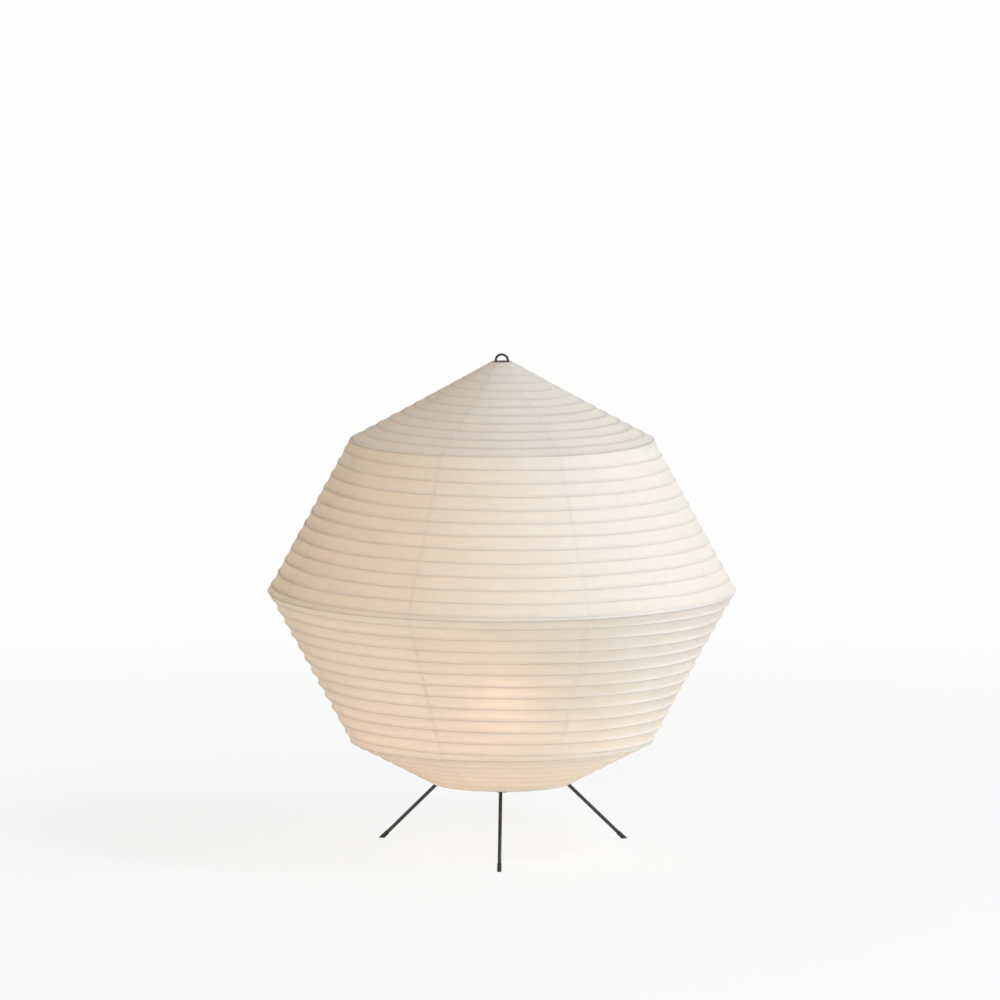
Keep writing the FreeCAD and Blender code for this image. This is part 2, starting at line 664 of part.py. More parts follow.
def build_collar():
    """Ring with three sloping leg sockets, three screw holes and two wire holes."""
    outside = cylinder("collar_outside", "Derived.collar_outer", "Sizes.collar_height", "Derived.collar_seat")
    bore = cylinder("collar_bore", "Derived.collar_inner", "2 * Sizes.collar_height",
                    "Derived.collar_seat - Sizes.collar_height / 2")
    tools = [bore]
    for place, azimuth in LEGS:
        tools.append(tilted_cylinder(
            "socket_" + place, azimuth, "Sizes.leg_wire / 2 + Sizes.push_gap",
            "Derived.leg_length - Sizes.tip_floor + Sizes.push_gap", *LEG_FOOT))
        screw_hole = cylinder(
            "screw_hole_" + place, "Sizes.grub_thread / 2 + Sizes.push_gap", "Sizes.collar_height",
            "Derived.grub_floor - Sizes.leg_wire / 4")
        tools.append(move_out(screw_hole, azimuth, "Derived.socket_middle"))
    for azimuth in (0, 180):
        wire_hole = doc.addObject("Part::Cylinder", "wire_hole_" + str(azimuth))
        bind(wire_hole, Radius="Sizes.stretcher_wire / 2 + Sizes.push_gap", Height="2 * Sizes.stretcher_grip")
        wire_hole.Placement.Rotation = Rotation(Vector(0, 1, 0), 90 - azimuth)
        move_out(wire_hole, azimuth, "Derived.stretcher_end - Sizes.push_gap")
        lift(wire_hole, "Derived.collar_middle")
        tools.append(wire_hole)
    finish(cut("leg_collar", outside, fuse("collar_cuts", tools)), "leg_collar")


def build_grub_screws():
    screws = []
    for place, azimuth in LEGS:
        thread = cylinder("grub_thread_" + place, "Sizes.grub_thread / 2", "Sizes.grub_length", "Derived.grub_floor")
        key = doc.addObject("Part::Prism", "grub_key_" + place)
        key.Polygon = 6
        bind(key, Circumradius="Sizes.grub_key / 2", Height="Sizes.grub_length")
        lift(key, "Derived.grub_floor + Sizes.grub_length - Sizes.grub_key_depth")
        for solid in (thread, key):
            move_out(solid, azimuth, "Derived.socket_middle")
        screws.append(cut("grub_screw_" + place, thread, key))
    finish(group("leg_grub_screws", screws), "leg_grub_screws")


# Stretcher: a bent wire on each side from the collar up to the neck, and the top loop that joins them

def build_stretcher():
    half = value("Derived.stretcher_half")
    end = value("Derived.stretcher_end")
    foot = value("Derived.collar_middle")
    arm = value("Derived.arm_height")
    loop = value("Derived.loop_half")
    neck = value("Derived.neck_height")
    top = value("Derived.loop_top")
    loop_foot = value("Derived.loop_foot")
    radius = value("Sizes.stretcher_wire / 2")
    bends = [value("Sizes.stretcher_" + bend + "_bend") for bend in ("foot", "top", "neck")]
    side = [(end, foot), (half, foot), (half, arm), (loop, neck), (loop, loop_foot)]
    for place, sign in (("right", 1), ("left", -1)):
        points = [Vector(sign * across, 0, up) for across, up in side]
        wire = tube(rounded_path(points, bends), points[0], Vector(sign, 0, 0), radius)
        finish(code_feature("stretcher_" + place, wire), "stretcher_" + place)
    arch = [(loop, loop_foot), (loop, top), (-loop, top), (-loop, loop_foot)]
    points = [Vector(across, 0, up) for across, up in arch]
    wire = tube(rounded_path(points, [loop, loop]), points[0], Vector(0, 0, 1), radius)
    finish(code_feature("stretcher_loop", wire), "stretcher_loop")


# Lamp holder

def build_holder_cap():
    cap = turned_body("holder_cap", [
        ("Derived.cap_bore", "0"),
        ("Derived.cap_bore + Sizes.holder_cap_wall", "0"),
        ("Derived.cap_bore + Sizes.holder_cap_wall", "Sizes.boss_step"),
        ("Derived.shoulder_lip_radius", "Sizes.boss_step + Sizes.dome_step"),
        ("Derived.shoulder_lip_radius", "Sizes.holder_cap_depth"),
        ("Derived.skirt_radius + Sizes.slip_gap", "Sizes.holder_cap_depth"),
        ("Derived.skirt_radius + Sizes.slip_gap", "Derived.cap_ledge"),
        ("Derived.skirt_inner", "Derived.cap_ledge"),
        ("Derived.skirt_inner", "Sizes.boss_step + Sizes.dome_step"),
        ("Derived.cap_bore", "Sizes.boss_step + Sizes.holder_cap_wall"),
    ])
    lift(cap, "Derived.cap_bottom")
    finish(cap, "holder_cap")


def build_holder_skirt():
    ledge = "Sizes.skirt_below - Sizes.shoulder_step"
    height = "Sizes.skirt_below + Sizes.collar_height + Sizes.skirt_above"
    skirt = turned_body("holder_skirt", [
        ("Derived.skirt_inner", "0"),
        ("Derived.skirt_radius", "0"),
        ("Derived.skirt_radius", ledge),
        ("Derived.shoulder_lip_radius", ledge),
        ("Derived.shoulder_lip_radius", "Sizes.skirt_below"),
        ("Derived.skirt_radius", "Sizes.skirt_below"),
        ("Derived.skirt_radius", height),
        ("Derived.skirt_inner", height),
    ])
    lift(skirt, "Derived.skirt_bottom - Sizes.seat_gap")
    finish(skirt, "holder_skirt")


def build_holder_core():
    """Insulating disc with a flange and two holes for the terminal screws."""
    core = turned_body("holder_core", [
        ("0", "0"),
        ("Derived.skirt_radius", "0"),
        ("Derived.skirt_radius", "Sizes.core_flange - Sizes.seat_gap"),
        ("Derived.skirt_inner - Sizes.slip_gap", "Sizes.core_flange - Sizes.seat_gap"),
        ("Derived.skirt_inner - Sizes.slip_gap", "Sizes.core_depth"),
        ("0", "Sizes.core_depth"),
    ])
    hole = circle_sketch(core, "terminal_hole_outline", "Sizes.terminal_spread / 2",
                         "Sizes.terminal_thread / 2 + Sizes.push_gap")
    polar_pattern(core, cut_upward(core, hole, "terminal_hole"), "terminal_holes", 2)
    lift(core, "Derived.core_bottom")
    finish(core, "holder_core")


def build_screw_shell():
    """Brass shell with an inner thread that runs between the turns of the bulb's thread."""
    outer = "Derived.shell_radius + Sizes.sheet_metal"
    shell = turned_body("holder_screw_shell", [
        ("Derived.shell_radius", "0"),
        (outer, "0"),
        (outer, "Sizes.shell_depth"),
        ("Derived.shell_radius", "Sizes.shell_depth"),
    ])
    root = "Derived.shell_radius + Sizes.sheet_metal / 2"
    crest = "Derived.shell_radius - Sizes.thread_ridge"
    middle = "Derived.shell_thread_start"
    screw_thread(shell, "shell_thread", [
        (root, middle + " - Sizes.thread_foot / 2"),
        (root, middle + " + Sizes.thread_foot / 2"),
        (crest, middle + " + Sizes.thread_crest / 2"),
        (crest, middle + " - Sizes.thread_crest / 2"),
    ], "Sizes.shell_turns")
    lift(shell, "Derived.core_seat")
    finish(shell, "holder_screw_shell")


def build_centre_contact():
    """Bent brass leaf: foot on the core, ramp, and pad under the bulb's contact."""
    ramp_foot = "Sizes.contact_foot"
    ramp_head = "Sizes.contact_foot + Sizes.contact_ramp"
    tip = ramp_head + " + Sizes.contact_pad"
    top = "Sizes.contact_rise - Sizes.rest_gap"
    body = new_body("holder_centre_contact")
    leaf = outline_sketch(body, "leaf_outline", [
        ("0", "0"),
        (ramp_foot, "0"),
        (ramp_head, top + " - Sizes.sheet_metal"),
        (tip, top + " - Sizes.sheet_metal"),
        (tip, top),
        (ramp_head + " - Sizes.sheet_metal / 2", top),
        (ramp_foot + " - Sizes.sheet_metal / 2", "Sizes.sheet_metal"),
        ("0", "Sizes.sheet_metal"),
    ])
    pad = body.newObject("PartDesign::Pad", "leaf")
    pad.Profile = leaf
    pad.Midplane = True
    bind(pad, Length="Sizes.contact_width")
    body.Tip = pad
    body.setExpression("Placement.Base.x", f"Sizes.contact_pad / 2 - ({tip})")
    lift(body, "Derived.core_seat")
    finish(body, "holder_centre_contact")


def build_terminal_screws():
    screws = []
    for side, azimuth in (("right", 0), ("left", 180)):
        shank = cylinder("terminal_shank_" + side, "Sizes.terminal_thread / 2",
                         "Sizes.core_depth - Sizes.terminal_cover + Sizes.seat_gap",
                         "Derived.core_bottom - Sizes.seat_gap")
        head_base = "Derived.core_bottom - Sizes.seat_gap - Sizes.terminal_head_depth"
        head = cylinder("terminal_head_" + side, "Sizes.terminal_head / 2", "Sizes.terminal_head_depth", head_base)
        slot = doc.addObject("Part::Box", "terminal_slot_" + side)
        bind(slot, Length="Sizes.terminal_slot", Width="2 * Sizes.terminal_head", Height="Sizes.terminal_head_depth")
        lift(slot, head_base + " - Sizes.terminal_head_depth / 2")
        for solid in (shank, head):
            move_out(solid, azimuth, "Sizes.terminal_spread / 2")
        sign = 1 if side == "right" else -1
        bind(slot, **{
            "Placement.Base.x": f"{sign} * Sizes.terminal_spread / 2 - Sizes.terminal_slot / 2",
            "Placement.Base.y": "-Sizes.terminal_head",
        })
        screws.append(cut("terminal_screw_" + side, fuse("terminal_blank_" + side, [shank, head]), slot))
    finish(group("holder_terminal_screws", screws), "holder_terminal_screws")


CLAMP_NOTCHES = 24


def build_clamp_ring():
    """Ring screwed down on the collar, with finger notches round its edge."""
    inner = "Derived.skirt_radius + Sizes.slip_gap"
    outer = "Sizes.clamp_width / 2"
    ring = turned_body("clamp_ring", [
        (inner, "0"),
        (outer, "0"),
        (outer, "Sizes.clamp_depth"),
        (inner, "Sizes.clamp_depth"),
    ])
    notch = circle_sketch(ring, "clamp_notch_outline", outer, "Sizes.clamp_notch / 2")
    polar_pattern(ring, cut_upward(ring, notch, "clamp_notch"), "clamp_notches", CLAMP_NOTCHES)
    lift(ring, "Derived.collar_top + Sizes.seat_gap")
    finish(ring, "clamp_ring")


def build_cord_grip():
    """Six-sided grip screwed into the cap from below, bored for the cord."""
    head_base = "Derived.cap_bottom - Sizes.seat_gap - Sizes.grip_head_depth"
    length = "Sizes.grip_head_depth + Sizes.grip_spigot"
    head = doc.addObject("Part::Prism", "grip_head")
    head.Polygon = 6
    bind(head, Circumradius="Sizes.grip_head / 2", Height="Sizes.grip_head_depth")
    lift(head, head_base)
    spigot = cylinder("grip_spigot", "Sizes.grip_thread / 2", length, head_base)
    bore = cylinder("grip_bore", "Sizes.cord_bore / 2", "2 * (" + length + ")",
                    head_base + " - Sizes.grip_head_depth")
    finish(cut("cord_grip", fuse("grip_blank", [head, spigot]), bore), "cord_grip")


# Bulb; heights are measured from its contact

def build_bulb_contact():
    button = turned_body("bulb_contact", [
        ("0", "0"),
        ("Sizes.button_width / 2 - Sizes.button_depth / 2", "0"),
        ("Sizes.button_width / 2", "Sizes.button_depth / 2"),
        ("Sizes.button_width / 2", "Sizes.button_depth"),
        ("0", "Sizes.button_depth"),
    ])
    lift(button, "Derived.bulb_seat")
    finish(button, "bulb_contact")


def build_bulb_insulator():
    wide = "Derived.bulb_cap_inner - Sizes.rest_gap"
    foot = "Sizes.button_depth + Sizes.seat_gap"
    insulator = turned_body("bulb_insulator", [
        ("0", foot),
        ("Sizes.button_width / 2 + Sizes.button_depth", foot),
        (wide, "Sizes.bulb_cap_foot"),
        (wide, "Sizes.bulb_cap_foot + Sizes.button_depth"),
        ("0", "Sizes.bulb_cap_foot + Sizes.button_depth"),
    ])
    lift(insulator, "Derived.bulb_seat")
    finish(insulator, "bulb_insulator")


def build_bulb_cap():
    """Thin brass cap with its thread and a rim that holds the glass."""
    inner = "Derived.bulb_cap_inner"
    outer = "Derived.bulb_cap_outer"
    cap = turned_body("bulb_cap", [
        (inner, "Sizes.bulb_cap_foot"),
        (outer, "Sizes.bulb_cap_foot"),
        (outer, "Sizes.bulb_cap_neck"),
        ("Derived.bulb_rim_outer", "Derived.bulb_rim_foot"),
        ("Derived.bulb_rim_outer", "Derived.bulb_rim_top"),
        ("Derived.bulb_rim_inner", "Derived.bulb_rim_top"),
        ("Derived.bulb_rim_inner", "Derived.bulb_rim_foot"),
        (inner, "Sizes.bulb_cap_neck"),
    ])
    root = outer + " - Sizes.bulb_cap_sheet / 2"
    crest = outer + " + Sizes.thread_ridge"
    middle = "Sizes.thread_start"
    screw_thread(cap, "bulb_thread", [
        (root, middle + " - Sizes.thread_foot / 2"),
        (crest, middle + " - Sizes.thread_crest / 2"),
        (crest, middle + " + Sizes.thread_crest / 2"),
        (root, middle + " + Sizes.thread_foot / 2"),
    ], "Sizes.thread_turns")
    lift(cap, "Derived.bulb_seat")
    finish(cap, "bulb_cap")


def glass_form(name, inset):
    """Globe, tapering shoulder and straight neck of the bulb, drawn in by an inset."""
    neck_radius = f"Derived.neck_radius - {inset}"
    globe = doc.addObject("Part::Sphere", name + "_globe")
    bind(globe, Radius=f"Derived.globe_radius - {inset}")
    lift(globe, "Derived.bulb_seat + Derived.globe_middle")
    taper = doc.addObject("Part::Cone", name + "_taper")
    bind(taper, Radius1=neck_radius,
         Radius2=f"sqrt((Derived.globe_radius - {inset}) ^ 2 - Sizes.neck_join ^ 2)",
         Height="Derived.taper_top - Derived.bulb_rim_top")
    lift(taper, "Derived.bulb_seat + Derived.bulb_rim_top")
    neck = cylinder(name + "_neck", neck_radius, "Derived.bulb_rim_top - Derived.neck_foot",
                    "Derived.bulb_seat + Derived.neck_foot")
    return fuse(name, [globe, taper, neck])


def build_bulb_glass():
    outside = glass_form("glass_outside", "0")
    inside = glass_form("glass_inside", "Sizes.glass_wall")
    finish(cut("bulb_glass", outside, inside), "bulb_glass")


def build_bulb_stem():
    stem = "Sizes.stem_width / 2"
    flare = "Derived.neck_radius - Sizes.glass_wall - Sizes.slip_gap"
    body = turned_body("bulb_stem", [
        ("0", "Derived.stem_foot"),
        (flare, "Derived.stem_foot"),
        (stem, "Derived.stem_foot + Sizes.stem_flare"),
        (stem, "Derived.stem_top"),
        ("0", "Derived.stem_top"),
    ])
    lift(body, "Derived.bulb_seat")
    finish(body, "bulb_stem")


FILAMENT_COUNT = 4


def build_filaments():
    rods = []
    for index in range(FILAMENT_COUNT):
        rod = cylinder("filament_" + str(index + 1), "Sizes.filament_width / 2", "Sizes.filament_length",
                       "Derived.bulb_seat + Derived.globe_middle - Sizes.filament_length / 2")
        rods.append(move_out(rod, 45 + index * 360 / FILAMENT_COUNT, "Derived.filament_circle"))
    finish(group("bulb_filaments", rods), "bulb_filaments")


def build_lamp():
    build_gores()
    build_ribs()
    build_hoops()
    build_legs()
    build_tips()
    build_collar()
    build_grub_screws()
    build_stretcher()
    build_holder_cap()
    build_holder_skirt()
    build_holder_core()
    build_screw_shell()
    build_centre_contact()
    build_terminal_screws()
    build_clamp_ring()
    build_cord_grip()
    build_bulb_contact()
    build_bulb_insulator()
    build_bulb_cap()
    build_bulb_glass()
    build_bulb_stem()
    build_filaments()


def check_and_export():
    """Stop on anything that failed, then write one file for each sub-part."""
    doc.recompute()
    for thing in doc.Objects:
        if "Invalid" in thing.State or "Error" in thing.State:
            raise RuntimeError(thing.Label + " failed: " + str(thing.State))
    os.makedirs("parts", exist_ok=True)
    for thing in SUB_PARTS:
        if thing.Shape.isNull() or not thing.Shape.isValid():
            raise RuntimeError(thing.Label + " has no valid shape")
        thing.Shape.exportStep("parts/" + thing.Label + ".step")
        print(thing.Label, len(thing.Shape.Solids), "solid", round(thing.Shape.Volume, 1), "mm3")


build_lamp()
check_and_export()
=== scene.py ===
import json
import math
from collections import namedtuple

import bpy
import numpy as np
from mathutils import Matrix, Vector, noise


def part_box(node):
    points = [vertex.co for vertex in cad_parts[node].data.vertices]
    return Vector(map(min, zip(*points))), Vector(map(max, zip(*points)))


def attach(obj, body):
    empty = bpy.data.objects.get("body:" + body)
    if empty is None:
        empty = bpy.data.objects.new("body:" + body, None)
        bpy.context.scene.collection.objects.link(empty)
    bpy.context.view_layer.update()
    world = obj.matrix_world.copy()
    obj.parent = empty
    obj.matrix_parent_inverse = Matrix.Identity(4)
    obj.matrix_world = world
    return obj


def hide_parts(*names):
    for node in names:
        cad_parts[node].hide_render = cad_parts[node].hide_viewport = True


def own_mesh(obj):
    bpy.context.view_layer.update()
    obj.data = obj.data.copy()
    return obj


# Rice paper table lamp: looks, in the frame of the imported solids.
# Lengths of the shade are in millimetres, as in the part's source, and MM turns them into metres.
# The floor, the lamps and the camera are in metres.

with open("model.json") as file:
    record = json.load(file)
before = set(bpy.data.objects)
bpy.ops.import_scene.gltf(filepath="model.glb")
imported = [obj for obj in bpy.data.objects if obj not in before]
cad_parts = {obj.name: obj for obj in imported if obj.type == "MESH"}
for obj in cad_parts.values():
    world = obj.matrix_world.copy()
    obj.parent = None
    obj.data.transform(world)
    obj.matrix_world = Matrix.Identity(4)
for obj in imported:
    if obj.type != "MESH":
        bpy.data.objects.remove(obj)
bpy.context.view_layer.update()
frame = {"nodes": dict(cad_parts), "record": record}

MM = 0.001

# Paper: outside corners from the crown's edge down, as (radius, height)
CROWN = (9.0, 473.0)
SHOULDER = (146.0, 398.0)
WAIST = (225.0, 252.0)
HIP = (146.0, 107.0)
BANDS = ("crown", "upper", "lower", "base")
PAPER = 0.3

# Gores, named from the front round to the right, with azimuths in degrees
GORES = ("front", "front_right", "right", "back_right", "back", "back_left", "left", "front_left")
FRONT = -90.0
GORE_ANGLE = 360.0 / len(GORES)
# columns of points across a gore, before those of its lap
COLUMNS = 24
# on the map of the flat paper the gores lie this far apart, in metres, so that no two are alike
SHEET_STEP = 0.7

# Wires under the paper: the top ring and corner hoops, the bottom hoop, and the room round them
HOOP_RADIUS = 1.0
BASE_HOOP_RADIUS = 1.25
GLUE_GAP = 0.1
SPLICE_GAP = 0.5

# Spiral rib: its radius, its pitch along the paper, and its depth below the paper's outside
RIB_RADIUS = 0.8
RIB_PITCH = 13.5
RIB_INSET = PAPER + GLUE_GAP + RIB_RADIUS
# sides of its mesh, and steps in a turn
RIB_SIDES = 8
RIB_STEPS = 44
# turns are counted from the front of the shoulder, and these are more than the shade has
RIB_TURNS = range(-20, 60)
# hand-wound turns stray from an even spiral, except at the rib's ends: how far, how often round the
# shade, and over what length down it
RIB_STRAY = 0.9
STRAY_ROUND = 1.7
STRAY_DOWN = 21.0
# the strip is uneven: its mean share of the radius, the change in it, how often in a turn, and the row
# of the noise that it follows
RIB_SHARE = 0.97
RIB_UNEVEN = 0.05
UNEVEN_ROUND = 3.1
UNEVEN_ROW = 0.7
# the paper's ridge over a rib runs on past the rib's end, to this far from the fold
RIDGE_END = 0.25

# Paper sinks in between two turns of the rib: depth in each band, form of the curve, and the share of
# the way down at which it is deepest. Within a radius round the crown, where it is stiffer, it sinks less.
SAGS = (0.85, 1.0, 1.6, 0.85)
SAG_POWER = 2.2
SAG_DEEPEST = 0.68
FULL_SAG_RADIUS = 120.0
# the depth changes from place to place: by what share, how often round the shade, and over what length
SAG_CHANGE = 0.6
CHANGE_ROUND = 2.4
CHANGE_DOWN = 34.0
# turns that lie further apart than this many pitches sag no deeper
WIDEST_SAG = 1.15
# fine crinkles: depth, and size across and up
CRINKLE = 0.16
CRINKLE_ACROSS = 13.0
CRINKLE_UP = 9.0
# shares of the way from turn to turn at which the paper's mesh has a row
CELL_STEPS = (0.0, 0.04, 0.1, 0.2, 0.34, 0.5, 0.66, 0.76, 0.84, 0.91, 0.965)

# Paper bent more sharply than this in degrees, as over a rib, shows a crease
CREASE_ANGLE = 24.0

# How far above and below a rib, or the hoop in a fold, its painted shadow darkens the paper, with a little
# of the rib and its paste showing through, and how far above it a painted highlight makes the paper reflect
# more
SHADOW_ABOVE = 0.45
SHADOW_BELOW = 1.55
HIGHLIGHT_ABOVE = 2.2
# a hoop's painted shadow is darker than a rib's
HOOP_SHADOW = 1.6

# Lap of one gore over the next: its width, the start and end of the rise before the seam, and its lift
LAP = 2.6
LAP_RAMP = 3.0
LAP_STEP = 0.5
LAP_LIFT = 0.34
# its edge is feathered: how much thinner the paper is there, and over what width
FEATHER = 0.22
FEATHER_WIDTH = 1.2
# within this radius, near the crown, the lap is narrower
FULL_LAP_RADIUS = 60.0

# Paper's lower edge, which turns round the bottom hoop: radius, and its rows in degrees of the turn
HOOP_PAPER_RADIUS = PAPER + GLUE_GAP + BASE_HOOP_RADIUS
HOOP_WRAP = (8.0, 16.0, 24.0)

# Rice paper: darker and lighter tone of its face and of the light through it, and the range of its
# cloudiness from one to the other
FACE_TONES = ((0.945, 0.930, 0.908), (0.965, 0.955, 0.938))
GLOW_TONES = ((0.915, 0.850, 0.760), (0.950, 0.895, 0.820))
TONE_RANGE = (0.34, 0.66)
# the cloudiness is fine clouds and wide patches, in these shares
CLOUD_SHARE = 0.75
PATCH_SHARE = 0.25
# strength of short fibres beside long ones, and heights of the fibres and the grain in its relief
SHORT_FIBRES = 0.6
FIBRE_RELIEF = 0.7
GRAIN_RELIEF = 0.5
# colours of the fibres and of the painted rib and hoop shadow on its face and in the light, and how
# strongly they show
FIBRE_FACE = (0.90, 0.86, 0.80, 1.0)
FIBRE_GLOW = (0.84, 0.75, 0.62, 1.0)
RIB_SHADOW_FACE = (0.58, 0.47, 0.34, 1.0)
RIB_SHADOW_GLOW = (0.45, 0.33, 0.20, 1.0)
FIBRES_ON_FACE = 0.22
FIBRES_IN_GLOW = 0.35
RIB_SHADOW_ON_FACE = 0.24
RIB_SHADOW_IN_GLOW = 0.62
LAPS_IN_GLOW = 0.09
# share of the light that spreads through the paper, and how much less it is in the painted highlight above
# a rib
SPREADS_THROUGH = 0.3
LESS_THROUGH_HIGHLIGHT = 0.20

# Metals: dark and light tone, lowest and highest roughness
METALS = {
    "screw_steel": ((0.38, 0.38, 0.39), (0.55, 0.55, 0.56), 0.28, 0.45),
    "brass_sheet": ((0.66, 0.47, 0.18), (0.83, 0.64, 0.30), 0.22, 0.38),
    "contact_metal": ((0.50, 0.50, 0.48), (0.68, 0.68, 0.66), 0.25, 0.42),
}
# Moulded or fired materials: dark and light tone, lowest and highest roughness, scale of the grain
MOULDED = {
    "holder_plastic": ((0.018, 0.018, 0.019), (0.034, 0.034, 0.036), 0.38, 0.55, 1600.0),
    "grip_plastic": ((0.022, 0.022, 0.022), (0.042, 0.042, 0.042), 0.5, 0.65, 1200.0),
    "holder_ceramic": ((0.80, 0.78, 0.73), (0.89, 0.87, 0.83), 0.45, 0.7, 900.0),
    "black_insulator": ((0.012, 0.012, 0.016), (0.026, 0.026, 0.032), 0.12, 0.25, 700.0),
}
# Light of the bulb's globe and of its filaments
BULB_GLOW = 27.0
FILAMENT_GLOW = 6.0

# Floor, a little below the feet, and the white of floor and background
FLOOR_HALF = 40.0
FLOOR_LEVEL = -0.0003
FLOOR_COLOUR = (0.96, 0.945, 0.92, 1.0)
FLOOR_ROUGHNESS = 0.9
BARE_WHITE = (0.990, 0.988, 0.985, 1.0)
# share of bare white in the floor near the lamp and far from it, and the distances between
WHITE_NEAR = 0.87
WHITE_FAR = 1.0
FADE_START = 0.45
FADE_END = 1.6

# Light of the surroundings: from the walls, and from the ceiling, which begins at this upward share
# of a direction
WALL_LIGHT = 0.52
CEILING_LIGHT = 0.14
CEILING_FROM = 0.7
WORLD_COLOUR = (1.0, 0.965, 0.93, 1.0)

# Studio lamps: place, aim, width, power in watts, colour
SHADE_MIDDLE = (0.0, 0.0, 0.25)
SHADE_LOW = (0.0, 0.0, 0.20)
LAMPS = {
    "key": ((1.39, -0.80, 2.17), SHADE_MIDDLE, 0.4, 27.5, (0.82, 0.91, 0.98)),
    "side": ((2.34, -0.62, 0.90), SHADE_MIDDLE, 0.6, 21.0, (0.75, 0.88, 0.98)),
    "front": ((0.33, -2.45, 0.32), SHADE_LOW, 0.6, 12.0, (1.0, 0.79, 0.56)),
    "left": ((-2.1, -1.3, 0.40), SHADE_MIDDLE, 0.7, 15.0, (1.0, 0.80, 0.57)),
}

# Camera: lens and sensor in millimetres, elevation and turn to the right in degrees
CAMERA_AIM = (-1.7 * MM, 0.0, 339.0 * MM)
CAMERA_DISTANCE = 9.6
CAMERA_ELEVATION = 7.1
CAMERA_TURN = 1.0
CAMERA_DEPTH = 100.0
SENSOR_WIDTH = 36.0
LENS = 360.0


# Sizes worked out from those above and from the solids

def base_hoop_centre():
    """Radius and height of the middle of the bottom hoop's wire."""
    low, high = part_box("base_hoop")
    return high[0] / MM - BASE_HOOP_RADIUS, (low[2] + high[2]) / 2 / MM


def circle_point(centre, radius, angle):
    """Radius and height of a point on a circle, at an angle up from straight out."""
    return centre[0] + radius * math.cos(angle), centre[1] + radius * math.sin(angle)


def touching_point(corner, centre, radius):
    """Where a straight line from a corner touches a circle on its lower outside."""
    across = corner[0] - centre[0]
    up = corner[1] - centre[1]
    angle = math.atan2(up, across) - math.acos(radius / math.hypot(across, up))
    return circle_point(centre, radius, angle)


def rib_trims(corners):
    """How far down the slant from each corner a rib may start or end, clear of the hoop there."""
    clear = HOOP_RADIUS + SPLICE_GAP + RIB_RADIUS
    inset = PAPER + GLUE_GAP + HOOP_RADIUS
    falls = [
        math.atan2(top[1] - bottom[1], bottom[0] - top[0])
        for top, bottom in zip(corners, corners[1:])]
    trims = [HOOP_RADIUS / math.cos(falls[0]) + inset * math.tan(falls[0]) + clear]
    for fall, next_fall in zip(falls, falls[1:]):
        trims.append(inset * math.tan((next_fall - fall) / 2) + clear)
    trims.append(BASE_HOOP_RADIUS + SPLICE_GAP + RIB_RADIUS)
    return trims


HOOP_CENTRE = base_hoop_centre()
CORNERS = [CROWN, SHOULDER, WAIST, HIP, touching_point(HIP, HOOP_CENTRE, HOOP_PAPER_RADIUS)]
RIB_TRIMS = rib_trims(CORNERS)


# Node materials

# numbers of a colour mix node's sockets, whose names it uses more than once
MIX_FACTOR = 0
MIX_FIRST = 6
MIX_SECOND = 7
MIX_RESULT = 2


